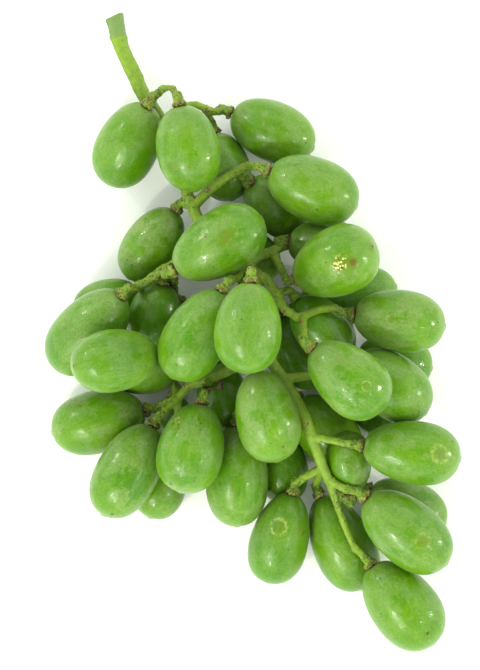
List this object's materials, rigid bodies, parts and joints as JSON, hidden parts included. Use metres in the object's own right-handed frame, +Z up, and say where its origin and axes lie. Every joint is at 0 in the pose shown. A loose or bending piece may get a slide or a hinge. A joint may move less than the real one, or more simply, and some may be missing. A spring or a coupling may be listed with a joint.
{
  "type": "bunch of grapes",
  "caption": "Bunch of long green table grapes lying on its side, with the berries on short stalks round a branching stem.",
  "frame": {"origin": "on the surface it lies on, below the middle of the bunch", "axes": "+Z is up, +Y points to the cut stalk end, and X is across the bunch"},
  "size_m": [0.1244, 0.193, 0.06],
  "materials": {
    "skin": "waxy satin, with pale bloom",
    "stalk": "matt, rough with small warts"
  },
  "bodies": {
    "root": {"berry_01": "skin", "berry_02": "skin", "berry_03": "skin", "berry_04": "skin", "berry_05": "skin", "berry_06": "skin", "berry_07": "skin", "berry_08": "skin", "berry_09": "skin", "berry_10": "skin", "berry_11": "skin", "berry_12": "skin", "berry_13": "skin", "berry_14": "skin", "berry_15": "skin", "berry_16": "skin", "berry_17": "skin", "berry_18": "skin", "berry_19": "skin", "berry_20": "skin", "berry_21": "skin", "berry_22": "skin", "berry_23": "skin", "berry_24": "skin", "berry_25": "skin", "berry_26": "skin", "berry_27": "skin", "berry_28": "skin", "berry_29": "skin", "berry_30": "skin", "berry_31": "skin", "berry_32": "skin", "berry_33": "skin", "berry_34": "skin", "berry_35": "skin", "berry_36": "skin", "berry_37": "skin", "berry_38": "skin", "berry_39": "skin", "berry_40": "skin", "berry_41": "skin", "berry_42": "skin", "berry_43": "skin", "berry_44": "skin", "berry_45": "skin", "stem": "stalk"}
  },
  "joints": []
}
